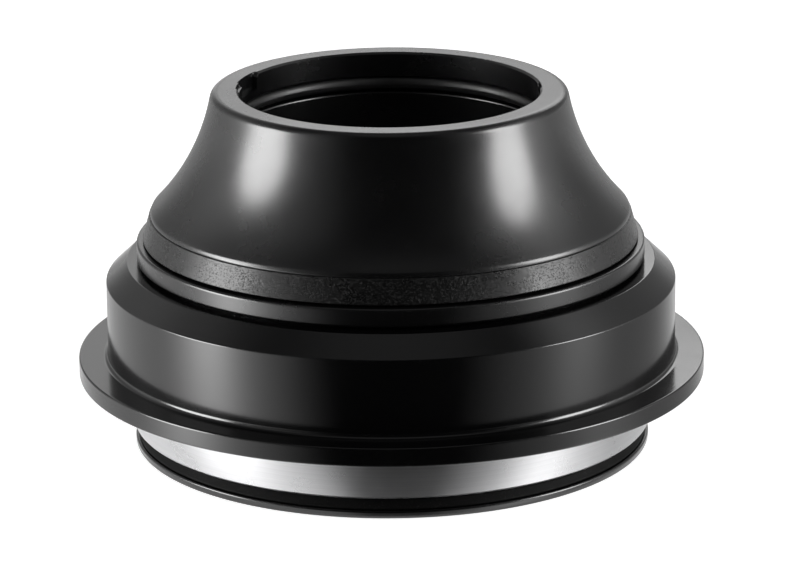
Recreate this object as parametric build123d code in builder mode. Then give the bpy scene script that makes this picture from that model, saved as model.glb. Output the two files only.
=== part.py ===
from build123d import *
import os

# Threadless bicycle headset for a tapered steerer, stacked as it comes out of its box:
# the upper set is nested in the lower cup, which stands on its bearing and the crown race.
# Millimetres, +Z up the steerer axis, the foot of the crown race at the origin.

# Steerer and head tube
steerer_d = 28.6
taper_step = 5.5            # lower cup's skirt outside the upper cup's, on the radius

# Running and seating clearances
cover_clearance = 0.13      # cover's bore round the steerer
race_clearance = 0.05       # bearing in the mouth of its cup
nest_clearance = 0.3        # upper cup's skirt inside the lower cup, on the radius
nest_gap = 0.44             # upper cup's foot above the lower bearing
cover_gap = 0.15            # cover seal above the upper cup's flange
spigot_gap = 0.35           # cover's spigot above the foot of its seal
crown_gap = 0.12            # crown seal below the lower bearing
crown_fit = 0.1             # crown race's bore inside the bearing's bore
wedge_gap = 0.775           # bearing's bore outside the steerer
ball_clearance = 0.06       # ball in the grooves of its races
pocket_clearance = 0.08     # ball in its pocket of the cage
cage_clearance = 0.2        # cage between the lands of the races
lip_clearance = 0.1         # seal's lip round the inner race

# Angular contact bearings, both built alike
ball_d = 3.175
land_gap = 1.3              # between the lands of the two races
seal_step = 0.3             # seal's seat outside the outer race's land
seal_t = 0.5
seal_recess = 0.25          # seal below the face of the outer race
race_recess = 0.4           # inner race below the face of the outer race
outer_face_w = 0.4          # flat left on the outer race beside its seat
inner_face_w = 0.5          # flat left on the inner race beside its seat
race_chamfer = 0.18         # plain outer corner of the outer race
cage_web = 0.65             # cage beyond its ball pockets
cage_skirt = 1.1            # cage's open side below the ball centres
upper_section = 5.825
upper_bearing_h = 7.0
upper_balls = 16
lower_section = 5.1
lower_bearing_h = 8.0
lower_balls = 18

# Upper cup
upper_wall = 1.05
upper_flange_w = 2.49
upper_flange_h = 1.77
upper_flange_round = 0.25
upper_land_w = 1.5          # raised land that seats under the flange, beside the skirt
upper_land_h = 0.24
upper_sink = 0.65           # bearing below the top of the flange
upper_lip_w = 0.75          # seat carried on inside the bearing's face
upper_floor_h = 1.25
upper_lead = 0.8            # lead-in on the foot of the skirt

# Lower cup
lower_wall = 2.35
lower_flange_w = 2.83
lower_flange_h = 1.78
lower_flange_round = 0.18
lower_foot_round = 0.45     # where the skirt meets its flange
lower_lead_w = 2.02         # lead-in on the top of the skirt
lower_lead_h = 1.9
lower_edge_round = 0.12     # both edges of the lead-in
lower_grip = 1.85           # bearing's straight wall held in the mouth of the cup

# Crown race and its seal
crown_lip_h = 0.75
crown_lip_step = 0.1        # lip inside the bearing's outer wall
crown_lip_round = 0.2
crown_seal_h = 1.1
crown_seal_w = 2.2
crown_seal_step = 0.15      # foot of the seal inside the lip
crown_seal_taper = 0.85     # top of the seal inside its foot
crown_seal_round = 0.15
crown_tip_w = 0.35          # flat on the tip of the cone
crown_lead = 0.3            # lead-in on the foot of the bore

# Compression ring
ring_tip_w = 0.4            # flat on the tip of the wedge
ring_brim = 0.25            # ring outside the bearing's seat
ring_rise = 2.5             # top of the ring above the inner race
ring_slit = 1.6

# Top cover, its seal and the steerer O-ring
cover_h = 12.02
rim_w = 2.63
rim_round = 0.8
flare_r = 22.0              # hollow sweep of the outside, from rim to hem
hem_h = 0.32
hem_round = 0.65
hem_step = 0.1              # hem inside the top of the cover seal
cover_seal_h = 2.38
cover_seal_step = 0.59      # foot of the seal inside the upper cup's flange
cover_seal_taper = 0.7      # top of the seal inside its foot
cover_seal_w = 2.9
cover_seal_round = 0.12
spigot_wall = 1.5
tube_wall = 2.2             # inner tube that bears on the compression ring
roof_t = 6.6                # solid top above the relief
relief_top_w = 0.6
relief_foot_h = 0.3         # foot of the relief's slope above the hem
bore_lead = 0.2
o_ring_d = 1.35
o_ring_depth = 2.4          # O-ring's groove below the rim
groove_h = 1.6
groove_lip_round = 0.25     # lower edge of the groove
groove_squeeze = 0.05       # O-ring's bore inside the steerer's wall
keyways = (                 # start angle, sweep, depth into the rim's bore wall, height
    (153.0, 16.0, 0.45, 1.6),
    (169.0, 9.0, 0.3, 0.5),
    (2.0, 7.5, 0.3, 1.6),
)

# Radii, worked outwards from the steerer
steerer_r = steerer_d / 2
cover_bore_r = steerer_r + cover_clearance
upper_inner_r = steerer_r + wedge_gap
upper_outer_r = upper_inner_r + upper_section
upper_mouth_r = upper_outer_r + race_clearance
upper_skirt_r = upper_mouth_r + upper_wall
upper_flange_r = upper_skirt_r + upper_flange_w
lower_skirt_r = upper_skirt_r + taper_step
lower_flange_r = lower_skirt_r + lower_flange_w
lower_mouth_r = lower_skirt_r - lower_wall
lower_outer_r = lower_mouth_r - race_clearance
lower_inner_r = lower_outer_r - lower_section
crown_bore_r = lower_inner_r - crown_fit
ball_r = ball_d / 2


def pitch_radius(inner_r, outer_r):
    """Radius of the ball centres: halfway across the section."""
    return (inner_r + outer_r) / 2


def outer_seat(inner_r, outer_r):
    """Size of the outer race's 45 degree seat: what its seal and its flat leave of the section."""
    seal_seat_r = pitch_radius(inner_r, outer_r) + land_gap / 2 + seal_step
    return outer_r - seal_seat_r - outer_face_w


def inner_seat(inner_r, outer_r):
    """Size of the inner race's 45 degree seat: what its flat leaves between bore and land."""
    return pitch_radius(inner_r, outer_r) - land_gap / 2 - inner_face_w - inner_r


upper_seat = outer_seat(upper_inner_r, upper_outer_r)
upper_cone = inner_seat(upper_inner_r, upper_outer_r)
lower_seat = outer_seat(lower_inner_r, lower_outer_r)
lower_cone = inner_seat(lower_inner_r, lower_outer_r)
upper_hole_r = upper_outer_r - upper_seat - upper_lip_w

# Heights, stacked from the foot of the crown race
crown_shelf_z = crown_lip_h + crown_seal_h
lower_bearing_z = crown_shelf_z + crown_gap
lower_bearing_top = lower_bearing_z + lower_bearing_h
lower_cup_z = lower_bearing_top - lower_seat - lower_grip
upper_cup_z = lower_bearing_top + nest_gap
upper_floor_z = upper_cup_z + upper_floor_h
upper_bearing_z = upper_floor_z + upper_lip_w
upper_bearing_top = upper_bearing_z + upper_bearing_h
upper_flange_top = upper_bearing_top + upper_sink
upper_flange_z = upper_flange_top - upper_flange_h
cover_seal_z = upper_flange_top + cover_gap
hem_z = cover_seal_z + cover_seal_h
cover_top = hem_z + cover_h
ring_top = upper_bearing_top - race_recess + ring_rise

# Top cover: a turned shell with a hollow flare, open below around the tube that carries the load
cover_seal_r = upper_flange_r - cover_seal_step
hem_r = cover_seal_r - cover_seal_taper - hem_step
spigot_r = cover_seal_r - cover_seal_w
spigot_inner_r = spigot_r - spigot_wall
spigot_z = cover_seal_z + spigot_gap
tube_r = cover_bore_r + tube_wall
neck_r = cover_bore_r + rim_w
relief_top = cover_top - roof_t
groove_top = cover_top - o_ring_depth
groove_r = steerer_r - groove_squeeze + o_ring_d

with BuildPart() as top_cover:
    with BuildSketch(Plane.XZ) as cover_section:
        with BuildLine():
            Polyline(
                (hem_r, hem_z + hem_h),
                (hem_r, hem_z),
                (spigot_r, hem_z),
                (spigot_r, spigot_z),
                (spigot_inner_r, spigot_z),
                (spigot_inner_r, hem_z + relief_foot_h),
                (tube_r + relief_top_w, relief_top),
                (tube_r, relief_top),
                (tube_r, ring_top),
                (cover_bore_r, ring_top),
                (cover_bore_r, groove_top - groove_h),
                (groove_r, groove_top - groove_h),
                (groove_r, groove_top),
                (cover_bore_r, groove_top),
                (cover_bore_r, cover_top - bore_lead),
                (cover_bore_r + bore_lead, cover_top),
                (neck_r, cover_top),
            )
            RadiusArc((neck_r, cover_top), (hem_r, hem_z + hem_h), -flare_r)
        make_face()
        fillet(cover_section.vertices().sort_by_distance((neck_r, cover_top))[0], rim_round)
        fillet(cover_section.vertices().sort_by_distance((hem_r, hem_z + hem_h))[0], hem_round)
        fillet(
            cover_section.vertices().sort_by_distance((cover_bore_r, groove_top - groove_h))[0],
            groove_lip_round,
        )
    revolve(axis=Axis.Z)
    for start, sweep_angle, depth, height in keyways:
        outward = Vector(1, 0, 0).rotate(Axis.Z, start)
        across = Vector(0, -1, 0).rotate(Axis.Z, start)
        with BuildSketch(Plane(origin=(0, 0, cover_top), x_dir=outward, z_dir=across)):
            with Locations((cover_bore_r, 0)):
                Rectangle(2 * depth, 2 * height)
        revolve(axis=Axis.Z, revolution_arc=sweep_angle, mode=Mode.SUBTRACT)

# O-ring that grips the steerer, in its groove below the cover's rim
with BuildPart() as steerer_o_ring:
    with BuildSketch(Plane.XZ):
        with Locations((groove_r - o_ring_d / 2, groove_top - groove_h / 2)):
            Circle(o_ring_d / 2)
    revolve(axis=Axis.Z)

# Rubber seal stretched over the cover's spigot, flared down to run just above the upper cup
with BuildPart() as cover_seal:
    with BuildSketch(Plane.XZ) as seal_section:
        with BuildLine():
            Polyline(
                (spigot_r, cover_seal_z),
                (cover_seal_r, cover_seal_z),
                (cover_seal_r - cover_seal_taper, hem_z),
                (spigot_r, hem_z),
                close=True,
            )
        make_face()
        fillet(seal_section.vertices().sort_by(Axis.X)[-2:], cover_seal_round)
    revolve(axis=Axis.Z)

# Split compression ring: its wedge centres the steerer in the upper bearing
ring_seat_r = upper_inner_r + upper_cone
ring_seat_z = upper_bearing_top - race_recess
ring_r = ring_seat_r + ring_brim
ring_tip_r = steerer_r + ring_tip_w

with BuildPart() as compression_ring:
    with BuildSketch(Plane.XZ):
        with BuildLine():
            Polyline(
                (steerer_r, ring_seat_z - (ring_seat_r - ring_tip_r)),
                (ring_tip_r, ring_seat_z - (ring_seat_r - ring_tip_r)),
                (ring_r, ring_seat_z + ring_brim),
                (ring_r, ring_top),
                (steerer_r, ring_top),
                close=True,
            )
        make_face()
    revolve(axis=Axis.Z)
    with BuildSketch(Plane.XY.offset(ring_top)):
        with Locations((0, ring_r)):
            Rectangle(ring_slit, 2 * (ring_r - steerer_r) + ring_slit)
    extrude(amount=-(ring_top - upper_bearing_z), mode=Mode.SUBTRACT)

# Upper cup: thin skirt for the head tube, flange on top, 45 degree seat for its bearing
upper_seat_z = upper_floor_z + upper_mouth_r - upper_hole_r
upper_land_r = upper_skirt_r + upper_land_w
upper_land_z = upper_flange_z - upper_land_h

with BuildPart() as upper_cup:
    with BuildSketch(Plane.XZ) as upper_section_face:
        with BuildLine():
            Polyline(
                (upper_hole_r, upper_cup_z),
                (upper_skirt_r - upper_lead, upper_cup_z),
                (upper_skirt_r, upper_cup_z + upper_lead),
                (upper_skirt_r, upper_land_z),
                (upper_land_r, upper_land_z),
                (upper_land_r, upper_flange_z),
                (upper_flange_r, upper_flange_z),
                (upper_flange_r, upper_flange_top),
                (upper_mouth_r, upper_flange_top),
                (upper_mouth_r, upper_seat_z),
                (upper_hole_r, upper_floor_z),
                close=True,
            )
        make_face()
        fillet(upper_section_face.vertices().group_by(Axis.X)[-1], upper_flange_round)
    revolve(axis=Axis.Z)

# Lower cup: pressed into the head tube up to its flange, with the bearing's 45 degree seat below
lower_bore_r = upper_skirt_r + nest_clearance
lower_cup_top = upper_land_z
lower_lead_r = lower_skirt_r - lower_lead_w
lower_lead_z = lower_cup_top - lower_lead_h
lower_flange_top = lower_cup_z + lower_flange_h
lower_seat_z = lower_bearing_top - lower_seat - race_clearance

with BuildPart() as lower_cup:
    with BuildSketch(Plane.XZ) as lower_section_face:
        with BuildLine():
            Polyline(
                (lower_mouth_r, lower_cup_z),
                (lower_flange_r, lower_cup_z),
                (lower_flange_r, lower_flange_top),
                (lower_skirt_r, lower_flange_top),
                (lower_skirt_r, lower_lead_z),
                (lower_lead_r, lower_cup_top),
                (lower_bore_r, lower_cup_top),
                (lower_bore_r, lower_seat_z + lower_mouth_r - lower_bore_r),
                (lower_mouth_r, lower_seat_z),
                close=True,
            )
        make_face()
        fillet(lower_section_face.vertices().group_by(Axis.X)[-1], lower_flange_round)
        fillet(
            lower_section_face.vertices().sort_by_distance((lower_skirt_r, lower_flange_top))[0],
            lower_foot_round,
        )
        for lead_edge in ((lower_skirt_r, lower_lead_z), (lower_lead_r, lower_cup_top)):
            fillet(lower_section_face.vertices().sort_by_distance(lead_edge)[0], lower_edge_round)
    revolve(axis=Axis.Z)

# Crown race: pressed on the fork, its cone carries the lower bearing
crown_lip_r = lower_outer_r - crown_lip_step
crown_seal_r = crown_lip_r - crown_seal_step
crown_hub_r = crown_seal_r - crown_seal_w
cone_base_r = lower_inner_r + lower_cone
cone_base_z = lower_bearing_z + race_recess
crown_tip_r = crown_bore_r + crown_tip_w

with BuildPart() as crown_race:
    with BuildSketch(Plane.XZ) as crown_section:
        with BuildLine():
            Polyline(
                (crown_bore_r + crown_lead, 0),
                (crown_lip_r, 0),
                (crown_lip_r, crown_lip_h),
                (crown_hub_r, crown_lip_h),
                (crown_hub_r, crown_shelf_z),
                (cone_base_r + cone_base_z - crown_shelf_z, crown_shelf_z),
                (crown_tip_r, cone_base_z + cone_base_r - crown_tip_r),
                (crown_bore_r, cone_base_z + cone_base_r - crown_tip_r),
                (crown_bore_r, crown_lead),
                close=True,
            )
        make_face()
        fillet(crown_section.vertices().group_by(Axis.X)[-1], crown_lip_round)
    revolve(axis=Axis.Z)

# Rubber wiper round the crown race's hub, closing the lower bearing from below
with BuildPart() as crown_race_seal:
    with BuildSketch(Plane.XZ) as crown_seal_section:
        with BuildLine():
            Polyline(
                (crown_hub_r, crown_lip_h),
                (crown_seal_r, crown_lip_h),
                (crown_seal_r - crown_seal_taper, crown_shelf_z),
                (crown_hub_r, crown_shelf_z),
                close=True,
            )
        make_face()
        fillet(crown_seal_section.vertices().sort_by(Axis.X)[-2:], crown_seal_round)
    revolve(axis=Axis.Z)


def make_bearing(inner_r, outer_r, height, ball_count, seat_z, way):
    """One sealed angular contact bearing, from the face beside its outer seat in the direction way.

    Depths in its sections run from that face, so way +1 builds upwards and way -1 downwards.
    """
    pitch_r = pitch_radius(inner_r, outer_r)
    outer_land_r = pitch_r + land_gap / 2
    inner_land_r = pitch_r - land_gap / 2
    seal_seat_r = outer_land_r + seal_step
    seat = outer_seat(inner_r, outer_r)
    cone = inner_seat(inner_r, outer_r)
    seal_depth = seal_recess + seal_t
    section_plane = Plane(origin=(0, 0, seat_z), x_dir=(1, 0, 0), z_dir=(0, -way, 0))
    ball_plane = Plane.XY.offset(seat_z + way * height / 2)

    with BuildPart() as outer_race:
        with BuildSketch(section_plane):
            with BuildLine():
                Polyline(
                    (outer_r - seat, 0),
                    (outer_r, seat),
                    (outer_r, height - race_chamfer),
                    (outer_r - race_chamfer, height),
                    (seal_seat_r, height),
                    (seal_seat_r, height - seal_depth),
                    (outer_land_r, height - seal_depth),
                    (outer_land_r, seal_depth),
                    (seal_seat_r, seal_depth),
                    (seal_seat_r, 0),
                    close=True,
                )
            make_face()
            with Locations((pitch_r, height / 2)):
                Circle(ball_r + ball_clearance, mode=Mode.SUBTRACT)
        revolve(axis=Axis.Z)

    with BuildPart() as inner_race:
        with BuildSketch(section_plane):
            with BuildLine():
                Polyline(
                    (inner_r, race_recess),
                    (inner_land_r, race_recess),
                    (inner_land_r, height - race_recess),
                    (inner_r + cone, height - race_recess),
                    (inner_r, height - race_recess - cone),
                    close=True,
                )
            make_face()
            with Locations((pitch_r, height / 2)):
                Circle(ball_r + ball_clearance, mode=Mode.SUBTRACT)
        revolve(axis=Axis.Z)

    with BuildPart() as balls:
        with Locations(ball_plane):
            with PolarLocations(pitch_r, ball_count):
                Sphere(ball_r)

    with BuildPart() as cage:
        with BuildSketch(section_plane):
            with Locations((pitch_r, height / 2 - cage_skirt)):
                Rectangle(
                    land_gap - 2 * cage_clearance,
                    cage_skirt + ball_r + pocket_clearance + cage_web,
                    align=(Align.CENTER, Align.MIN),
                )
        revolve(axis=Axis.Z)
        with Locations(ball_plane):
            with PolarLocations(pitch_r, ball_count):
                Sphere(ball_r + pocket_clearance, rotation=(0, 90, 0), mode=Mode.SUBTRACT)

    seals = []
    for depth in (seal_recess, height - seal_depth):
        with BuildPart() as seal:
            with BuildSketch(section_plane):
                with Locations((inner_land_r + lip_clearance, depth)):
                    Rectangle(
                        seal_seat_r - inner_land_r - lip_clearance,
                        seal_t,
                        align=(Align.MIN, Align.MIN),
                    )
            revolve(axis=Axis.Z)
        seals.append(seal)

    return outer_race, inner_race, balls, cage, seals[0], seals[1]


upper_pieces = make_bearing(
    upper_inner_r, upper_outer_r, upper_bearing_h, upper_balls, upper_bearing_z, 1
)
lower_pieces = make_bearing(
    lower_inner_r, lower_outer_r, lower_bearing_h, lower_balls, lower_bearing_top, -1
)
bearing_names = ("outer_race", "inner_race", "balls", "cage", "seat_seal", "cone_seal")

# Every piece under the name a mechanic would use
pieces = {
    "top_cover": top_cover,
    "steerer_o_ring": steerer_o_ring,
    "cover_seal": cover_seal,
    "compression_ring": compression_ring,
    "upper_cup": upper_cup,
    "lower_cup": lower_cup,
    "crown_race": crown_race,
    "crown_race_seal": crown_race_seal,
}
for piece_name, upper_piece, lower_piece in zip(bearing_names, upper_pieces, lower_pieces):
    pieces["upper_bearing_" + piece_name] = upper_piece
    pieces["lower_bearing_" + piece_name] = lower_piece

os.makedirs("parts", exist_ok=True)
for label, piece in pieces.items():
    piece.part.label = label
    export_step(piece.part, f"parts/{label}.step")
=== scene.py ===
import math
import bpy
import numpy as np
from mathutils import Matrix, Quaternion, Vector


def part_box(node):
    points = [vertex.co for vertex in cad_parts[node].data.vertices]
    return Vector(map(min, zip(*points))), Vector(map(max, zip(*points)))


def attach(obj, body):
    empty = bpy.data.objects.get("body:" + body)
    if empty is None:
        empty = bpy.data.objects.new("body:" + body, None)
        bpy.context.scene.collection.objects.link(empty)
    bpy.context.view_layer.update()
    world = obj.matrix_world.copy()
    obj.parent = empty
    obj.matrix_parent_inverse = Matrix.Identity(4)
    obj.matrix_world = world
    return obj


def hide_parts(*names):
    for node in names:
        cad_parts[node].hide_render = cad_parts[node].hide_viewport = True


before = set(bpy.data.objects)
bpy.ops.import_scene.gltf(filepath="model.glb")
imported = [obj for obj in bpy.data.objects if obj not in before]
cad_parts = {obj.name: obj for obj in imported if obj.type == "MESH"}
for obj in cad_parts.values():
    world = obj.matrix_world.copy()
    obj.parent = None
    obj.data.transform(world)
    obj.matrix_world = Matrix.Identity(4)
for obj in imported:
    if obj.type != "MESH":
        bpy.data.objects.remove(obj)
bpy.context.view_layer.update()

# Crown race: the foot of the stack, pressed on the fork. Turned from aluminium bar, its cone
# and lip cut in one setting, then anodised black, so fine turning marks stay in the finish.
MM = 0.001
crown_low, crown_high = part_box("crown_race")
crown_bore = 19.9 * MM
crown_lead = 0.3 * MM
crown_lip = 0.75 * MM
crown_lip_round = 0.2 * MM
crown_hub = 22.65 * MM
crown_shelf = 1.85 * MM
crown_tip = crown_bore + 0.35 * MM
edge_break = 0.05 * MM
turn_steps = 600


def outline(*corners):
    """Closed section through (radius, height, round) corners, in order, anticlockwise.

    A round corner is an arc about a centre on the bisector, round / sin(half the inner angle) from
    the corner, in equal steps whose chords stay within chord_gap of it. A guard point past each end
    keeps the next flat flat. A corner with no round is one point.
    """
    chord_gap, guard, same_point = 0.0015 * MM, 0.04 * MM, 1e-5 * MM
    corners = np.array(corners)
    place, rounds = corners[:, :2], corners[:, 2]
    ahead = np.roll(place, -1, axis=0) - place
    length = np.linalg.norm(ahead, axis=1)
    ahead = ahead / length[:, None]
    back = -np.roll(ahead, 1, axis=0)
    half = np.arccos(np.clip((ahead * back).sum(axis=1), -1, 1)) / 2
    reach = rounds / np.tan(half)
    after = np.minimum(guard, (length - reach - np.roll(reach, -1)) / 3)
    before = np.roll(after, 1)
    points = []
    for corner, rounding in enumerate(rounds):
        here, to_last, to_next = place[corner], back[corner], ahead[corner]
        if rounding == 0:
            points.append(here[None])
            continue
        middle = (to_last + to_next) / np.linalg.norm(to_last + to_next)
        centre = here + middle * rounding / math.sin(half[corner])
        first = here + to_last * reach[corner] - centre
        last = here + to_next * reach[corner] - centre
        sweep = math.pi - 2 * half[corner]
        steps = max(3, math.ceil(sweep / (2 * math.acos(1 - chord_gap / rounding))))
        share = np.linspace(0, 1, steps + 1)[:, None]
        arc = np.sin((1 - share) * sweep) * first + np.sin(share * sweep) * last
        points.append((here + to_last * (reach[corner] + before[corner]))[None])
        points.append(centre + arc / math.sin(sweep))
        points.append((here + to_next * (reach[corner] + after[corner]))[None])
    points = np.vstack(points)
    return points[np.linalg.norm(points - np.roll(points, 1, axis=0), axis=1) > same_point]


def lathe(radius, height, angle):
    """Grid of a section turned about Z: (r cos a, r sin a, z), one row for each of its points."""
    radius = np.reshape(radius, (len(height), -1))
    height = np.broadcast_to(height[:, None], (len(height), len(angle)))
    return np.stack([radius * np.cos(angle), radius * np.sin(angle), height], axis=-1)


def ring_surface(name, points):
    """Mesh object of a grid that closes both round the section and round the ring.

    Face (i, j) joins points (i, j), (i, j+1), (i+1, j+1) and (i+1, j); the last row and column join
    the first. Corners sharper than crease stay sharp.
    """
    crease = math.radians(32)
    rows, columns = points.shape[:2]
    index = np.pad(np.arange(rows * columns).reshape(rows, columns), ((0, 1), (0, 1)), mode="wrap")
    quads = np.stack([index[:-1, :-1], index[:-1, 1:], index[1:, 1:], index[1:, :-1]], axis=-1)
    mesh = bpy.data.meshes.new(name)
    mesh.vertices.add(rows * columns)
    mesh.vertices.foreach_set("co", points.astype(np.float32).ravel())
    mesh.loops.add(quads.size)
    mesh.loops.foreach_set("vertex_index", quads.astype(np.int32).ravel())
    mesh.polygons.add(rows * columns)
    mesh.polygons.foreach_set("loop_start", np.arange(0, quads.size, 4, dtype=np.int32))
    mesh.update(calc_edges=True)
    mesh.shade_smooth()
    mesh.set_sharp_from_angle(angle=crease)
    made = bpy.data.objects.new(name, mesh)
    bpy.context.scene.collection.objects.link(made)
    return made


def stand_for(made, material, node, body):
    """Gives a piece its material, and puts it in a node's place on that node's body."""
    made.data.materials.append(material)
    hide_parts(node)
    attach(made, body)


even_turn = np.linspace(0, 2 * np.pi, turn_steps, endpoint=False)


def turned(name, section):
    """A section turned about Z in even steps, as a lathe leaves it."""
    return ring_surface(name, lathe(section[:, 0], section[:, 1], even_turn))


def add(tree, kind, inputs=None, **settings):
    """One shader node: settings are its own, inputs are socket values or the sockets that feed them."""
    made = tree.nodes.new("ShaderNode" + kind)
    for key, value in settings.items():
        setattr(made, key, value)
    for key, value in (inputs or {}).items():
        if isinstance(value, bpy.types.NodeSocket):
            tree.links.new(value, made.inputs[key])
        else:
            made.inputs[key].default_value = value
    return made


def effect(name, inputs, outputs):
    """Starts an effect group with named number sockets: its tree, its inputs, and its output node."""
    tree = bpy.data.node_groups.new(name, "ShaderNodeTree")
    for key, value in inputs.items():
        socket = tree.interface.new_socket(key, in_out="INPUT", socket_type="NodeSocketFloat")
        socket.default_value = value
    for key in outputs:
        tree.interface.new_socket(key, in_out="OUTPUT", socket_type="NodeSocketFloat")
    return tree, tree.nodes.new("NodeGroupInput").outputs, tree.nodes.new("NodeGroupOutput")


def object_mm(tree):
    """The point on the piece, in millimetres from the steerer axis and the foot of the stack."""
    place = add(tree, "TexCoord").outputs["Object"]
    return add(tree, "VectorMath", {0: place, "Scale": 1 / MM}, operation="SCALE").outputs[0]


def math_node(tree, operation, first, second=0.0, third=0.0, clamp=False):
    """One arithmetic step."""
    inputs = {0: first, 1: second, 2: third}
    return add(tree, "Math", inputs, operation=operation, use_clamp=clamp).outputs[0]


def turning_marks():
    """Rings left by a lathe tool: random heights along radius plus a share of height, wandering a little."""
    rise_share = 0.62
    tree, given, out = effect("turning_marks", {"Pitch": 0.2, "Wander": 0.05}, ("Height",))
    place = object_mm(tree)
    flat = add(tree, "VectorMath", {0: place, 1: (1, 1, 0)}, operation="MULTIPLY").outputs[0]
    radius = add(tree, "VectorMath", {0: flat}, operation="LENGTH").outputs["Value"]
    height = add(tree, "SeparateXYZ", {0: place}).outputs["Z"]
    along = math_node(tree, "MULTIPLY_ADD", height, rise_share, radius)
    drift = add(tree, "TexNoise", {"Vector": place, "Scale": 0.25, "Detail": 1.0}).outputs["Fac"]
    wandering = math_node(tree, "MULTIPLY_ADD", drift, given["Wander"], along)
    turns = math_node(tree, "DIVIDE", wandering, given["Pitch"])
    rings = add(tree, "TexNoise", {"W": turns, "Scale": 1.0, "Detail": 2.0}, noise_dimensions="1D")
    tree.links.new(rings.outputs["Fac"], out.inputs["Height"])
    return tree


def handling_film():
    """Uneven sheen from handling: two sizes of soft noise, the smaller one at a third of the strength."""
    fine_share, fine_times = 0.33, 6.0
    tree, given, out = effect("handling_film", {"Patch": 7.0}, ("Film",))
    place = object_mm(tree)
    coarse_scale = math_node(tree, "DIVIDE", 1.0, given["Patch"])
    fine_scale = math_node(tree, "DIVIDE", fine_times, given["Patch"])
    coarse = add(tree, "TexNoise", {"Vector": place, "Scale": coarse_scale, "Detail": 3.0})
    fine = add(tree, "TexNoise", {"Vector": place, "Scale": fine_scale, "Detail": 4.0})
    both = math_node(tree, "MULTIPLY_ADD", fine.outputs["Fac"], fine_share, coarse.outputs["Fac"])
    spread = add(tree, "MapRange", {"Value": both, "From Min": 0.45, "From Max": 0.9})
    tree.links.new(spread.outputs["Result"], out.inputs["Film"])
    return tree


def fine_dust():
    """Specks of dust: small noise peaks above a level, in drifts where a large noise is high."""
    peak_gain = 9.0
    tree, given, out = effect("fine_dust", {"Speck": 0.16, "Level": 0.68}, ("Dust",))
    place = object_mm(tree)
    speck_scale = math_node(tree, "DIVIDE", 1.0, given["Speck"])
    specks = add(tree, "TexNoise", {"Vector": place, "Scale": speck_scale, "Detail": 1.0}).outputs["Fac"]
    drifts = add(tree, "TexNoise", {"Vector": place, "Scale": 0.3, "Detail": 2.0}).outputs["Fac"]
    above = math_node(tree, "SUBTRACT", specks, given["Level"])
    peaks = math_node(tree, "MULTIPLY", above, peak_gain, clamp=True)
    dust = math_node(tree, "MULTIPLY", peaks, drifts, clamp=True)
    tree.links.new(dust, out.inputs["Dust"])
    return tree


MARKS, FILM, DUST = turning_marks(), handling_film(), fine_dust()


def place_effect(tree, group, **values):
    """An effect group in a material, with that material's own values."""
    made = tree.nodes.new("ShaderNodeGroup")
    made.node_tree = group
    for key, value in values.items():
        made.inputs[key].default_value = value
    return made.outputs


def blank_material(name):
    """A material with only a Principled BSDF and its output."""
    material = bpy.data.materials.new(name)
    material.use_nodes = True
    tree = material.node_tree
    return material, tree, tree.nodes["Principled BSDF"]


def span(tree, mask, low, high):
    """A number that runs from low to high as the mask runs from 0 to 1."""
    return add(tree, "MapRange", {"Value": mask, "To Min": low, "To Max": high}).outputs["Result"]


def tint(tree, mask, low, high):
    """A colour that runs from low to high as the mask runs from 0 to 1."""
    made = add(tree, "Mix", {"Factor": mask}, data_type="RGBA")
    first, second = [socket for socket in made.inputs if socket.type == "RGBA"]
    first.default_value = (*low, 1)
    second.default_value = (*high, 1)
    return [socket for socket in made.outputs if socket.type == "RGBA"][0]


def black_anodised(name, pitch, roughness):
    """Dyed oxide on turned aluminium: near black, satin, with turning marks and a little dust."""
    material, tree, skin = blank_material(name)
    film = place_effect(tree, FILM, Patch=9.0)["Film"]
    dust = place_effect(tree, DUST, Speck=0.14, Level=0.7)["Dust"]
    marks = place_effect(tree, MARKS, Pitch=pitch)["Height"]
    dye, dusty = (0.002, 0.002, 0.0022), (0.03, 0.03, 0.03)
    film_roughness = 0.06
    tree.links.new(tint(tree, dust, dye, dusty), skin.inputs["Base Color"])
    tree.links.new(span(tree, film, roughness, roughness + film_roughness), skin.inputs["Roughness"])
    bump = add(tree, "Bump", {"Height": marks, "Strength": 0.5, "Distance": 0.0025 * MM})
    tree.links.new(bump.outputs["Normal"], skin.inputs["Normal"])
    skin.inputs["IOR"].default_value = 1.75
    return material


crown_race = turned("crown_race_turned", outline(
    (crown_bore + crown_lead, crown_low.z, edge_break),
    (crown_high.x, crown_low.z, crown_lip_round),
    (crown_high.x, crown_lip, crown_lip_round),
    (crown_hub, crown_lip, 0),
    (crown_hub, crown_shelf, 0),
    (crown_tip + crown_high.z - crown_shelf, crown_shelf, 0),
    (crown_tip, crown_high.z, edge_break),
    (crown_bore, crown_high.z, edge_break),
    (crown_bore, crown_low.z + crown_lead, edge_break),
))
crown_black = black_anodised("crown_race_black", pitch=0.16, roughness=0.2)
stand_for(crown_race, crown_black, "crown_race", "crown_side")

# Crown wiper and bearing seals: a coned rubber ring round the crown race's hub, and thin rings
# pressed into the bearings. Moulded in black nitrile rubber, with a matt skin from the mould.
wiper_foot = crown_high.x - 0.15 * MM
wiper_taper = 0.85 * MM
wiper_round = 0.15 * MM


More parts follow.
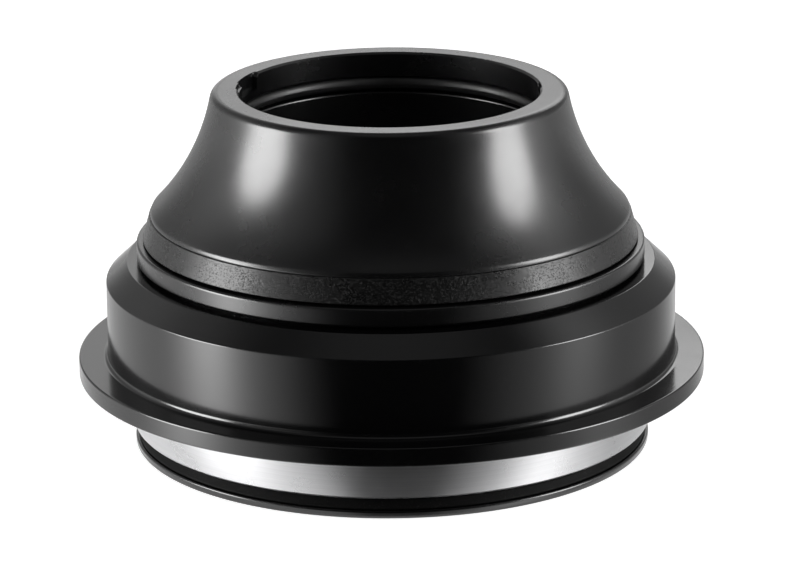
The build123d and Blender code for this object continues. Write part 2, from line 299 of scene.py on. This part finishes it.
def seal_rubber(name, roughness, ior):
    """Moulded black rubber: matt, finely grained, with dust held in the grain."""
    material, tree, skin = blank_material(name)
    dust = place_effect(tree, DUST, Speck=0.2, Level=0.6)["Dust"]
    film = place_effect(tree, FILM, Patch=4.0)["Film"]
    black, dusty = (0.005, 0.005, 0.005), (0.02, 0.02, 0.02)
    film_roughness = 0.12
    tree.links.new(tint(tree, dust, black, dusty), skin.inputs["Base Color"])
    tree.links.new(span(tree, film, roughness, roughness + film_roughness), skin.inputs["Roughness"])
    grain = place_effect(tree, FILM, Patch=0.4)["Film"]
    bump = add(tree, "Bump", {"Height": grain, "Strength": 0.4, "Distance": 0.006 * MM})
    tree.links.new(bump.outputs["Normal"], skin.inputs["Normal"])
    skin.inputs["IOR"].default_value = ior
    return material


def finish(material, *names):
    """Puts a material on the slots of the CAD nodes of these names."""
    for name in names:
        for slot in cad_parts[name].material_slots:
            slot.material = material


moulded_rubber = seal_rubber("moulded_rubber", roughness=0.5, ior=1.18)
wiper = turned("crown_wiper_moulded", outline(
    (crown_hub, crown_lip, 0),
    (wiper_foot, crown_lip, wiper_round),
    (wiper_foot - wiper_taper, crown_shelf, wiper_round),
    (crown_hub, crown_shelf, 0),
))
stand_for(wiper, moulded_rubber, "crown_race_seal", "crown_side")
finish(
    moulded_rubber,
    "lower_bearing_seat_seal",
    "lower_bearing_cone_seal",
    "upper_bearing_seat_seal",
    "upper_bearing_cone_seal",
)


# Bearing races: hardened steel rings, ground bright all over. The lower outer race is the
# silver band between its cup and the crown race.
def ground_steel(name, shade, roughness, pitch):
    """Ground steel: bright metal with close grinding lines round the ring."""
    material, tree, skin = blank_material(name)
    marks = place_effect(tree, MARKS, Pitch=pitch)["Height"]
    film = place_effect(tree, FILM, Patch=5.0)["Film"]
    dark_share, dull_times = 0.86, 1.5
    dark = tuple(dark_share * tone for tone in shade)
    tree.links.new(tint(tree, marks, dark, shade), skin.inputs["Base Color"])
    tree.links.new(span(tree, film, roughness, roughness * dull_times), skin.inputs["Roughness"])
    bump = add(tree, "Bump", {"Height": marks, "Strength": 0.5, "Distance": 0.002 * MM})
    tree.links.new(bump.outputs["Normal"], skin.inputs["Normal"])
    skin.inputs["Metallic"].default_value = 1.0
    return material


finish(
    ground_steel("ground_race_steel", (0.7, 0.7, 0.71), roughness=0.25, pitch=0.1),
    "lower_bearing_outer_race",
    "lower_bearing_inner_race",
    "upper_bearing_outer_race",
    "upper_bearing_inner_race",
)

# Balls: lapped chrome steel, loose in the pockets of their cages between the races.
# They are the smoothest surface in the headset.
ball_steel = ground_steel("lapped_ball_steel", (0.74, 0.74, 0.76), roughness=0.05, pitch=0.6)
finish(ball_steel, "lower_bearing_balls", "upper_bearing_balls")


# Ball cages: snap-in crowns that space the balls. Moulded in dark glass-filled nylon,
# dull, with the flow of the melt just showing.
def cage_nylon(name):
    """Moulded nylon: dull dark grey, clouded by the flow of the melt."""
    material, tree, skin = blank_material(name)
    flow = place_effect(tree, FILM, Patch=3.0)["Film"]
    dark, pale = (0.02, 0.021, 0.022), (0.045, 0.045, 0.046)
    tree.links.new(tint(tree, flow, dark, pale), skin.inputs["Base Color"])
    tree.links.new(span(tree, flow, 0.45, 0.6), skin.inputs["Roughness"])
    return material


finish(cage_nylon("cage_nylon"), "lower_bearing_cage", "upper_bearing_cage")

# Lower cup: pressed into the head tube up to its flange, over the lower bearing. Turned in one
# piece from aluminium and anodised black; while the set is stacked, the upper cup sits in its bore.
lower_low, lower_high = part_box("lower_cup")
lower_mouth = 25.15 * MM
lower_bore = 22.3 * MM
lower_skirt = 27.5 * MM
lower_flange_top = 8.7 * MM
lower_flange_round = 0.18 * MM
lower_foot_round = 0.45 * MM
lower_lead_width = 2.02 * MM
lower_lead_height = 1.9 * MM
lower_lead_round = 0.12 * MM
lower_seat = 8.72 * MM

lower_cup = turned("lower_cup_turned", outline(
    (lower_mouth, lower_low.z, edge_break),
    (lower_high.x, lower_low.z, lower_flange_round),
    (lower_high.x, lower_flange_top, lower_flange_round),
    (lower_skirt, lower_flange_top, lower_foot_round),
    (lower_skirt, lower_high.z - lower_lead_height, lower_lead_round),
    (lower_skirt - lower_lead_width, lower_high.z, lower_lead_round),
    (lower_bore, lower_high.z, edge_break),
    (lower_bore, lower_seat + lower_mouth - lower_bore, edge_break),
    (lower_mouth, lower_seat, edge_break),
))
lower_black = black_anodised("lower_cup_black", pitch=0.22, roughness=0.14)
stand_for(lower_cup, lower_black, "lower_cup", "frame_side")

# Upper cup: holds the upper bearing, its skirt nested in the lower cup and its flange seated on it.
# Turned thin from aluminium and anodised black in the same bath as the lower cup.
upper_low, upper_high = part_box("upper_cup")
upper_hole = 18.59 * MM
upper_mouth = 20.95 * MM
upper_skirt = 22.0 * MM
upper_lead = 0.8 * MM
upper_land = upper_skirt + 1.5 * MM
upper_flange_under = upper_high.z - 1.77 * MM
upper_flange_round = 0.25 * MM
upper_floor = upper_low.z + 1.25 * MM

upper_cup = turned("upper_cup_turned", outline(
    (upper_hole, upper_low.z, edge_break),
    (upper_skirt - upper_lead, upper_low.z, edge_break),
    (upper_skirt, upper_low.z + upper_lead, edge_break),
    (upper_skirt, lower_high.z, 0),
    (upper_land, lower_high.z, 0),
    (upper_land, upper_flange_under, 0),
    (upper_high.x, upper_flange_under, upper_flange_round),
    (upper_high.x, upper_high.z, upper_flange_round),
    (upper_mouth, upper_high.z, edge_break),
    (upper_mouth, upper_floor + upper_mouth - upper_hole, edge_break),
    (upper_hole, upper_floor, edge_break),
))
upper_black = black_anodised("upper_cup_black", pitch=0.22, roughness=0.24)
stand_for(upper_cup, upper_black, "upper_cup", "frame_side")


# Compression ring: a split wedge that centres the steerer in the upper bearing. Turned
# aluminium left bare, so it stays silver grey with plain turning marks.
def bare_aluminium(name):
    """Turned aluminium: pale grey metal, with open tool marks round the ring."""
    material, tree, skin = blank_material(name)
    marks = place_effect(tree, MARKS, Pitch=0.18)["Height"]
    dull, bright = (0.5, 0.5, 0.51), (0.66, 0.66, 0.67)
    tree.links.new(tint(tree, marks, dull, bright), skin.inputs["Base Color"])
    tree.links.new(span(tree, marks, 0.3, 0.42), skin.inputs["Roughness"])
    bump = add(tree, "Bump", {"Height": marks, "Strength": 0.6, "Distance": 0.004 * MM})
    tree.links.new(bump.outputs["Normal"], skin.inputs["Normal"])
    skin.inputs["Metallic"].default_value = 1.0
    return material


finish(bare_aluminium("bare_turned_aluminium"), "compression_ring")

# Cover seal: a broad rubber band stretched over the cover's spigot, flared down to run just
# above the upper cup. Its wall is finely pitted and lightly streaked from the mould.
seal_low, seal_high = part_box("cover_seal")
seal_foot = upper_high.x - 0.59 * MM
seal_taper = 0.7 * MM
seal_width = 2.9 * MM
seal_round = 0.12 * MM
seal_rows = 40
seal_columns = 1600
seal_wall = 0.08, 0.92      # shares of the height that the even rows span
pit_depth = 0.01 * MM
pit_level = 0.9, 1.7        # of the noise, where a pit starts and where it is at its full depth
patch_share = 0.6
streak_depth = 0.0012 * MM
seal_turn = np.linspace(0, 2 * np.pi, seal_columns, endpoint=False)


def soft_noise(row_size, column_size, seed):
    """Noise with no seam round the ring: white noise blurred by a bell curve of the given sizes, in mm."""
    row_step = (seal_high.z - seal_low.z) / seal_rows / MM
    column_step = 2 * np.pi * seal_foot / seal_columns / MM
    white = np.random.default_rng(seed).standard_normal((seal_rows, seal_columns))
    row_wave = np.fft.fftfreq(seal_rows, row_step)[:, None]
    column_wave = np.fft.fftfreq(seal_columns, column_step)[None, :]
    bell = np.exp(-2 * np.pi ** 2 * ((row_wave * row_size) ** 2 + (column_wave * column_size) ** 2))
    smooth = np.fft.ifft2(np.fft.fft2(white) * bell).real
    return smooth / smooth.std()


def smooth_step(value, low, high):
    """0 below low, 1 above high, and 3t^2 - 2t^3 of the way t between them."""
    share = np.clip((value - low) / (high - low), 0, 1)
    return share * share * (3 - 2 * share)


def cover_band():
    """The seal's section, a coned band with rounded outer corners, turned about Z, with a pitted wall.

    The wall is divided into even rows. A pit is where fine noise, helped by a broad noise that gathers
    the pits in patches, rises above a level: the wall drops by the pit depth times a smooth step of it.
    Long noise adds streaks round the ring. Both fade out towards the corners.
    """
    low, high = seal_low.z, seal_high.z
    share = np.linspace(*seal_wall, seal_rows)
    wall_r = seal_foot - seal_taper * share
    wall_z = low + (high - low) * share
    wall = [(radius, height, 0) for radius, height in zip(wall_r, wall_z)]
    inner = seal_foot - seal_width
    section = outline(
        (inner, low, 0),
        (seal_foot, low, seal_round),
        *wall,
        (seal_foot - seal_taper, high, seal_round),
        (inner, high, 0),
    )
    specks = soft_noise(row_size=0.05, column_size=0.06, seed=11)
    patches = soft_noise(row_size=0.3, column_size=0.9, seed=13)
    streaks = soft_noise(row_size=0.05, column_size=1.4, seed=12)
    pits = smooth_step(specks + patch_share * patches, *pit_level)
    fade = np.sin(np.pi * share)[:, None] ** 0.5
    relief = (pit_depth * pits + streak_depth * (streaks - streaks.min())) * fade
    radius = np.tile(section[:, :1], seal_columns)
    first = np.flatnonzero(np.isclose(section[:, 1], wall_z[0]))[0]
    radius[first:first + seal_rows] -= relief
    return ring_surface("cover_seal_band", lathe(radius, section[:, 1], seal_turn))


def pitted_rubber(name):
    """Rubber band with a worn skin: satin black, with fine streaks round the ring and dull dust."""
    material, tree, skin = blank_material(name)
    dust = place_effect(tree, DUST, Speck=0.15, Level=0.52)["Dust"]
    film = place_effect(tree, FILM, Patch=5.0)["Film"]
    marks = place_effect(tree, MARKS, Pitch=0.1, Wander=0.25)["Height"]
    black, dusty = (0.004, 0.004, 0.004), (0.015, 0.015, 0.015)
    tree.links.new(tint(tree, dust, black, dusty), skin.inputs["Base Color"])
    dust_roughness = 0.6
    worn = math_node(tree, "MULTIPLY_ADD", dust, dust_roughness, span(tree, film, 0.24, 0.35), clamp=True)
    tree.links.new(worn, skin.inputs["Roughness"])
    bump = add(tree, "Bump", {"Height": marks, "Strength": 0.5, "Distance": 0.004 * MM})
    tree.links.new(bump.outputs["Normal"], skin.inputs["Normal"])
    skin.inputs["IOR"].default_value = 1.5
    return material


stand_for(cover_band(), pitted_rubber("pitted_band_rubber"), "cover_seal", "cover_side")

# Top cover: the hollow flare that closes the upper bearing and carries the spacers. Turned from
# aluminium, anodised black, with shallow key notches cut in the edge of its bore.
cover_low, cover_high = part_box("top_cover")
ring_low, ring_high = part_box("steerer_o_ring")
wedge_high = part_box("compression_ring")[1]
cover_bore = 14.43 * MM
bore_lead = 0.2 * MM
rim_width = 2.63 * MM
rim_round = 0.8 * MM
flare_radius = 22.0 * MM
hem_height = 0.32 * MM
hem_round = 0.65 * MM
groove_height = 1.6 * MM
groove_lip = 0.25 * MM
spigot = seal_foot - seal_width
spigot_inner = spigot - 1.5 * MM
tube = cover_bore + 2.2 * MM
relief_top = cover_high.z - 6.6 * MM
relief_width = 0.6 * MM
relief_foot = 0.3 * MM
notches = (             # start angle, sweep, depth into the bore's wall, height
    (153.0, 16.0, 0.45 * MM, 1.6 * MM),
    (168.0, 10.0, 0.3 * MM, 0.5 * MM),
    (2.0, 7.5, 0.15 * MM, 1.6 * MM),
)
notch_slope = 1.0       # width of a notch's sloping end, in degrees
notch_lead = 1.8        # how much wider it is at the top, in degrees, over the height below
notch_lead_height = 0.45 * MM
notch_floor = 0.01 * MM
notch_steps = 15


def flare_corners():
    """Corners of the outside, from hem to rim, with the rounds of the hem's bead, the flare and the rim.

    The flare is a circle about a point outside the cover, through the hem and the neck. The bead and the
    edge are circles that touch it from below, so their centres lie flare radius plus round from its centre.
    Where two circles touch, their common tangent gives the straight lines that the corners lie on.
    """
    neck = np.array([cover_bore + rim_width, cover_high.z])
    hem = np.array([cover_high.x, seal_high.z + hem_height])
    chord = hem - neck
    outward = np.array([-chord[1], chord[0]]) / np.linalg.norm(chord)
    centre = (neck + hem) / 2 + outward * math.sqrt(flare_radius ** 2 - chord @ chord / 4)
    edge_z = neck[1] - rim_round
    edge_r = centre[0] - math.sqrt((flare_radius + rim_round) ** 2 - (edge_z - centre[1]) ** 2)
    bead_r = hem[0] - hem_round
    bead_z = centre[1] - math.sqrt((flare_radius + hem_round) ** 2 - (bead_r - centre[0]) ** 2)
    to_edge = (np.array([edge_r, edge_z]) - centre) / (flare_radius + rim_round)
    to_bead = (np.array([bead_r, bead_z]) - centre) / (flare_radius + hem_round)
    rim_touch = centre + flare_radius * to_edge
    hem_touch = centre + flare_radius * to_bead
    rim_r = rim_touch[0] - (neck[1] - rim_touch[1]) * to_edge[1] / to_edge[0]
    hem_z = hem_touch[1] - (hem[0] - hem_touch[0]) * to_bead[0] / to_bead[1]
    waist = centre + flare_radius * (to_edge + to_bead) / (1 + to_edge @ to_bead)
    return (hem[0], hem_z, hem_round), (*waist, flare_radius), (rim_r, neck[1], rim_round)


def flared_cover():
    """The cover's section turned about Z, with the bore's wall set back along each notch.

    A notch's depth rises by a smooth step at its sloping ends, which stand wider apart towards the rim.
    """
    groove_middle = (ring_low.z + ring_high.z) / 2
    groove_top = groove_middle + groove_height / 2
    groove_foot = groove_middle - groove_height / 2
    floors = sorted({cover_high.z - height for *_, height in notches}, reverse=True)
    floor_edges = [(cover_bore, floor + side * notch_floor, 0) for floor in floors for side in (1, -1)]
    lead_foot = cover_high.z - notch_lead_height
    section = outline(
        (spigot_inner, cover_low.z, 0),
        (spigot, cover_low.z, 0),
        (spigot, seal_high.z, 0),
        (cover_high.x, seal_high.z, edge_break),
        *flare_corners(),
        (cover_bore + bore_lead, cover_high.z, edge_break),
        (cover_bore, cover_high.z - bore_lead, 0),
        (cover_bore, lead_foot, 0),
        *floor_edges,
        (cover_bore, groove_top, edge_break),
        (ring_high.x, groove_top, 0),
        (ring_high.x, groove_foot, 0),
        (cover_bore, groove_foot, groove_lip),
        (cover_bore, wedge_high.z, 0),
        (tube, wedge_high.z, 0),
        (tube, relief_top, 0),
        (tube + relief_width, relief_top, 0),
        (spigot_inner, seal_high.z + relief_foot, 0),
    )
    slope = np.linspace(-notch_lead, notch_slope, notch_steps)
    ends = [np.concatenate([start + slope, start + sweep - slope]) for start, sweep, *_ in notches]
    angle = np.unique(np.concatenate([np.degrees(even_turn), *ends]).round(6) % 360)
    radius = np.tile(section[:, :1], len(angle))
    wider = notch_lead * np.clip((section[:, 1:] - lead_foot) / notch_lead_height, 0, 1)
    for start, sweep, depth, height in notches:
        from_end = np.minimum(angle - start, start + sweep - angle) + wider
        set_back = cover_bore + depth * smooth_step(from_end, 0, notch_slope)
        above = section[:, 1:] > cover_high.z - height
        radius = np.where(above & (from_end > 0), np.maximum(radius, set_back), radius)
    return ring_surface("top_cover_turned", lathe(radius, section[:, 1], np.radians(angle)))


cover_black = black_anodised("cover_black", pitch=0.25, roughness=0.23)
stand_for(flared_cover(), cover_black, "top_cover", "cover_side")

# Steerer O-ring: nitrile cord ring in its groove under the cover's rim. It is moulded in two
# halves, which leaves a fine flash line round its inside and outside.
flash_rise = 0.02 * MM
flash_width = 0.12      # sine of the section angle
section_steps = 64


def o_ring():
    """A torus of section angle and turning angle, with a narrow bell-shaped ridge along the mould line."""
    section = (ring_high.z - ring_low.z) / 2
    around = np.linspace(0, 2 * np.pi, section_steps, endpoint=False)
    ridge = np.exp(-(np.sin(around) / flash_width) ** 2) * flash_rise
    swell = section - flash_rise + ridge
    radius = ring_high.x - section + swell * np.cos(around)
    height = (ring_low.z + ring_high.z) / 2 + swell * np.sin(around)
    return ring_surface("steerer_o_ring_cord", lathe(radius, height, even_turn))


cord_rubber = seal_rubber("o_ring_rubber", roughness=0.4, ior=1.65)
stand_for(o_ring(), cord_rubber, "steerer_o_ring", "cover_side")

# Studio floor: a plain white sweep under and far around the part. It shows white to the
# camera and in reflections, and still takes the part's soft shadow.
floor_radius = 2.5
floor_inner = 0.1 * MM
floor_drop = 0.02 * MM
paper_grey = 0.8
paper_glow = 0.82


def sheet(name, points):
    """Open mesh of a grid of points, for what stands round the part in the studio."""
    rows, columns = points.shape[:2]
    index = np.arange(rows * columns).reshape(rows, columns)
    corners = np.stack([index[:-1, :-1], index[1:, :-1], index[1:, 1:], index[:-1, 1:]], axis=-1)
    mesh = bpy.data.meshes.new(name)
    mesh.from_pydata(points.reshape(-1, 3).tolist(), [], corners.reshape(-1, 4).tolist())
    made = bpy.data.objects.new(name, mesh)
    bpy.context.scene.collection.objects.link(made)
    return made


def disc(name, inner, outer, height):
    """Flat ring at a height: (r cos a, r sin a), radius r in growing steps and angle a all round."""
    rings, spokes = 24, 97
    radius = np.geomspace(inner, outer, rings)
    angle = np.linspace(0, 2 * np.pi, spokes)
    return sheet(name, lathe(radius, np.full(rings, height), angle))


def shown_ray(tree):
    """1 for rays that show a surface as background: camera, glossy and transmission rays."""
    path = add(tree, "LightPath").outputs
    seen = math_node(tree, "MAXIMUM", path["Is Camera Ray"], path["Is Glossy Ray"])
    return math_node(tree, "MAXIMUM", seen, path["Is Transmission Ray"])


def white_floor(name):
    """White paper that glows a little for the rays that show it, so that it stays white under soft light."""
    material, tree, skin = blank_material(name)
    tree.nodes.remove(skin)
    paper = add(tree, "BsdfDiffuse", {"Color": (paper_grey, paper_grey, paper_grey, 1)})
    glow = add(tree, "Emission", {"Color": (1, 1, 1, 1), "Strength": paper_glow})
    lit = add(tree, "AddShader", {0: paper.outputs[0], 1: glow.outputs[0]})
    both = add(tree, "MixShader", {0: shown_ray(tree), 1: paper.outputs[0], 2: lit.outputs[0]})
    tree.links.new(both.outputs[0], tree.nodes["Material Output"].inputs["Surface"])
    return material


floor = disc("studio_floor", floor_inner, floor_radius, -floor_drop)
floor.data.materials.append(white_floor("floor_white"))

# Floor reflection, painted: thin films over the floor, seen only in reflections, glow with a painted image
# of the tent and soft boxes. The part sees the floor dark in front, grey at the right and bright towards
# the left soft box, with painted glows by its foot and lip and painted streaks towards the soft boxes. A
# dark film in the bore paints shade into what the part reflects there.
# Each value below sets the glow of the painted reflection on the floor film.
gloss_apex = -21.0              # mm, the point in front of the axis that the pattern fans out from
gloss_inner = 25.6 * MM
gloss_outer = 0.9
gloss_left = 0.8
gloss_right = 0.38
gloss_far = 0.5
gloss_side = 50.0, 0.0          # x - y in mm, where the right and the left grey are reached
gloss_fade = 80.0, 220.0        # mm from the apex, between which the far grey comes in
painted_dark_front = 0.004
painted_dark_front_turn = 3.0          # degrees, the middle of the dark front
painted_dark_front_edge = 24.0, 68.0   # degrees to each side of it, its soft edge
painted_foot_glow = 0.055
painted_foot_glow_reach = 47.0, 38.0   # mm from the axis, where the glow by the foot starts and is full
painted_lip_glow = 0.1
painted_lip_glow_reach = 31.0, 28.0    # the same for the glow by the lip
painted_streaks = (               # turn, half-width, radiance for each mm from the apex, and by the foot
    (-79.5, 12.5, 0.046, -0.3),
    (-46.0, 18.0, 0.0, 0.14),
    (82.0, 13.0, 0.012, 0.85),
)
bore_shade = 0.01
film_height = 0.05 * MM
film_margin = 0.5 * MM


def reflected_only(stage_piece, strength):
    """Gives a stage piece a glow that shows only in reflections, and neither lights nor shades."""
    material, tree, skin = blank_material(stage_piece.name + "_glow")
    tree.nodes.remove(skin)
    glow = add(tree, "Emission", {"Color": (1, 1, 1, 1), "Strength": strength(tree)})
    tree.links.new(glow.outputs[0], tree.nodes["Material Output"].inputs["Surface"])
    stage_piece.data.materials.append(material)
    stage_piece.visible_camera = False
    stage_piece.visible_diffuse = False
    stage_piece.visible_shadow = False
    stage_piece.visible_transmission = False


def step_node(tree, value, low, high, top=1.0):
    """0 at low and top at high, by a smooth step between them."""
    limits = {"Value": value, "From Min": low, "From Max": high, "To Max": top}
    return add(tree, "MapRange", limits, interpolation_type="SMOOTHSTEP").outputs["Result"]


def turn_node(tree, place):
    """Turn of a point from the front, in degrees: the angle of x over -y."""
    part = add(tree, "SeparateXYZ", {0: place}).outputs
    toward = math_node(tree, "MULTIPLY", part["Y"], -1.0)
    return math_node(tree, "DEGREES", math_node(tree, "ARCTAN2", part["X"], toward))


def bell_node(tree, value, middle, width):
    """exp of minus the square of the distance from the middle over the width."""
    away = math_node(tree, "DIVIDE", math_node(tree, "SUBTRACT", value, middle), width)
    square = math_node(tree, "MULTIPLY", away, away)
    return math_node(tree, "EXPONENT", math_node(tree, "MULTIPLY", square, -1.0))


def painted_reflection_light(tree):
    """Painted reflection: grey by side beyond a dark front, plus painted glows by foot and lip, and painted
    streaks to the soft boxes.
    """
    place = object_mm(tree)
    from_apex = add(tree, "VectorMath", {0: place, 1: (0, gloss_apex, 0)}, operation="SUBTRACT").outputs[0]
    distance = add(tree, "VectorMath", {0: from_apex}, operation="LENGTH").outputs["Value"]
    turn = turn_node(tree, from_apex)
    part = add(tree, "SeparateXYZ", {0: place}).outputs
    side = math_node(tree, "SUBTRACT", part["X"], part["Y"])
    near_grey = span(tree, step_node(tree, side, *gloss_side), gloss_right, gloss_left)
    grey = span(tree, step_node(tree, distance, *gloss_fade), near_grey, gloss_far)
    from_front = math_node(tree, "ABSOLUTE", math_node(tree, "SUBTRACT", turn, painted_dark_front_turn))
    from_axis = add(tree, "VectorMath", {0: place}, operation="LENGTH").outputs["Value"]
    by_foot = step_node(tree, from_axis, *painted_foot_glow_reach)
    by_lip = step_node(tree, from_axis, *painted_lip_glow_reach, painted_lip_glow)
    beyond_front = step_node(tree, from_front, *painted_dark_front_edge)
    light = math_node(tree, "MULTIPLY_ADD", grey, beyond_front, painted_dark_front)
    light = math_node(tree, "MULTIPLY_ADD", by_foot, painted_foot_glow, math_node(tree, "ADD", light, by_lip))
    for middle, width, growth, foot in painted_streaks:
        bell = bell_node(tree, turn, middle, width)
        at_foot = math_node(tree, "MULTIPLY", by_foot, foot)
        amount = math_node(tree, "MULTIPLY_ADD", distance, growth, at_foot)
        light = math_node(tree, "MULTIPLY_ADD", bell, amount, light)
    return light


painted_reflection_film = disc("floor_painted_reflection", gloss_inner, gloss_outer, film_height)
reflected_only(painted_reflection_film, painted_reflection_light)
# A dark film in the bore: painted shade, seen only in reflections.
bore_shade_film = disc("bore_painted_shade", film_margin, crown_bore - film_margin, film_height)
reflected_only(bore_shade_film, lambda tree: bore_shade)

# Studio tent: a dome of cloth all round, seen only in reflections, whose light is painted glow. It is black
# in front, grey at the sides and back up to shoulder height, brighter along its foot, with painted halos at
# three turns and a faint painted glow at its top.
tent_radius = 1.2
tent_grey = 0.27
tent_front_turn = 8.0           # degrees, the middle of the black front
tent_front_edge = 28.0, 68.0    # degrees to each side of it, its soft edge
tent_shoulder = 64.0, 43.0      # degrees above the floor, as are the two rises
tent_foot = 0.22
tent_foot_rise = 12.0, 0.0
tent_painted_top_glow = 0.13
tent_painted_top_rise = 54.0, 76.0
tent_black = 0.005
# Painted halos: bright patches of glow in the tent, each a bell across the turn.
painted_halos = (                  # turn, half-width and top in degrees, radiance
    (-110.0, 18.0, 30.0, 0.4),
    (98.0, 15.0, 50.0, 0.6),
    (-170.0, 8.0, 30.0, 0.7),
)
halo_above, halo_below = 12.0, 8.0      # degrees from a halo's top, over which it fades


def dome(name, radius):
    """Half sphere: (cos e sin t, -cos e cos t, sin e) times the radius, for turn t and elevation e."""
    spokes, rings = 97, 25
    turn = np.linspace(-np.pi, np.pi, spokes)[None, :]
    rise = np.linspace(0, np.pi / 2, rings)[:, None]
    points = [np.cos(rise) * np.sin(turn), -np.cos(rise) * np.cos(turn), np.sin(rise) + 0 * turn]
    return sheet(name, radius * np.stack(points, axis=-1))


def tent_painted_light(tree):
    """Painted glow: grey beyond the front and below the shoulder, by smooth steps, plus foot, painted halos
    and a faint top.
    """
    place = add(tree, "TexCoord").outputs["Object"]
    sine = math_node(tree, "DIVIDE", add(tree, "SeparateXYZ", {0: place}).outputs["Z"], tent_radius)
    rise = math_node(tree, "DEGREES", math_node(tree, "ARCSINE", sine))
    turn = turn_node(tree, place)
    from_front = math_node(tree, "ABSOLUTE", math_node(tree, "SUBTRACT", turn, tent_front_turn))
    cloth = span(tree, step_node(tree, rise, *tent_foot_rise), tent_grey, tent_grey + tent_foot)
    beyond_front = math_node(tree, "MULTIPLY", cloth, step_node(tree, from_front, *tent_front_edge))
    crown = step_node(tree, rise, *tent_painted_top_rise, tent_painted_top_glow)
    light = math_node(tree, "MULTIPLY_ADD", beyond_front, step_node(tree, rise, *tent_shoulder), crown)
    for middle, width, top, radiance in painted_halos:
        below = step_node(tree, rise, top + halo_above, top - halo_below, radiance)
        light = math_node(tree, "MULTIPLY_ADD", bell_node(tree, turn, middle, width), below, light)
    return math_node(tree, "ADD", light, tent_black)


reflected_only(dome("studio_tent", tent_radius), tent_painted_light)

# Studio lights: a soft box low at each side of the part, and a small panel behind it, in a dim room.
# Each is a lamp that lights the floor, and a cloth face that shows in the part's gloss.
aim_height = 15 * MM
inner_share = 0.1           # of the face's light that is passed on between the part's own surfaces
first_depth = 1.5           # a ray of less depth shows a first reflection
room_light = 0.08


def cloth_face(shape, width, height):
    """Flat grid of u and v from -1 to 1; an ellipse draws u in by the root of 1 - v^2/2, and v likewise."""
    steps = np.linspace(-1, 1, 33)
    u, v = np.meshgrid(steps, steps)
    if shape == "ELLIPSE":
        u, v = u * np.sqrt(1 - v ** 2 / 2), v * np.sqrt(1 - u ** 2 / 2)
    return np.stack([u * width / 2, v * height / 2, 0 * u], axis=-1)


def soft_box(name, shape, turn, rise, distance, width, height, radiance, shift=0.0):
    """Lamp and face at a turn from the front and a rise, aimed at the axis or at a shift beside it."""
    turn, rise = math.radians(turn), math.radians(rise)
    away = Vector((math.sin(turn) * math.cos(rise), -math.cos(turn) * math.cos(rise), math.sin(rise)))
    place = away * distance + Vector((shift, 0, aim_height))
    facing = away.to_track_quat("Z", "Y")
    lamp = bpy.data.lights.new(name, "AREA")
    lamp.shape = shape
    lamp.size, lamp.size_y = width, height
    lamp.energy = radiance * math.pi * width * height * (math.pi / 4 if shape == "ELLIPSE" else 1)
    box = bpy.data.objects.new(name, lamp)
    box.location = place
    box.rotation_mode = "QUATERNION"
    box.rotation_quaternion = facing
    box.visible_camera = False
    box.visible_glossy = False
    bpy.context.scene.collection.objects.link(box)

    def face_light(tree):
        """The radiance in a first reflection, and a small share of it in later ones."""
        depth = add(tree, "LightPath").outputs["Ray Depth"]
        first = math_node(tree, "LESS_THAN", depth, first_depth)
        return span(tree, first, inner_share * radiance, radiance)

    points = cloth_face(shape, width, height) @ np.array(facing.to_matrix()).T + np.array(place)
    reflected_only(sheet(name + "_face", points), face_light)


soft_box(
    "left_box", "ELLIPSE", turn=-81.5, rise=12.0, distance=0.6,
    width=0.335, height=0.37, radiance=9.6,
)
soft_box(
    "right_box", "ELLIPSE", turn=77.5, rise=16.5, distance=0.6,
    width=0.275, height=0.48, radiance=8.8,
)
soft_box(
    "back_panel", "RECTANGLE", turn=180, rise=25.7, distance=0.8,
    width=0.452, height=0.28, radiance=2.1, shift=0.169,
)

world = bpy.data.worlds.new("studio")
bpy.context.scene.world = world
world.use_nodes = True
room = world.node_tree
dim = room.nodes["Background"]
dim.inputs["Color"].default_value = (1, 1, 1, 1)
dim.inputs["Strength"].default_value = room_light
white = add(room, "Background", {"Color": (1, 1, 1, 1), "Strength": 1.0})
mixed = add(room, "MixShader", {0: shown_ray(room), 1: dim.outputs[0], 2: white.outputs[0]})
room.links.new(mixed.outputs[0], room.nodes["World Output"].inputs["Surface"])
bpy.context.scene.view_settings.view_transform = "Standard"

# Camera: a long lens a little above the part, as the photograph was taken. It looks along +Y,
# a touch to one side of the steerer axis, and leans by half a degree.
camera_distance = 412.5 * MM
camera_lens = 191.6
camera_rise = math.radians(16.97)
camera_roll = math.radians(-0.45)
aim = Vector((0.87 * MM, 0, 14.66 * MM))

camera_data = bpy.data.cameras.new("photo_camera")
camera_data.lens = camera_lens
camera_data.sensor_width = 36.0
camera_data.clip_start = 0.01
camera = bpy.data.objects.new("photo_camera", camera_data)
back = Vector((0, -math.cos(camera_rise), math.sin(camera_rise)))
camera.location = aim + back * camera_distance
camera.rotation_mode = "QUATERNION"
camera.rotation_quaternion = back.to_track_quat("Z", "Y") @ Quaternion((0, 0, 1), camera_roll)
bpy.context.scene.collection.objects.link(camera)
bpy.context.scene.camera = camera
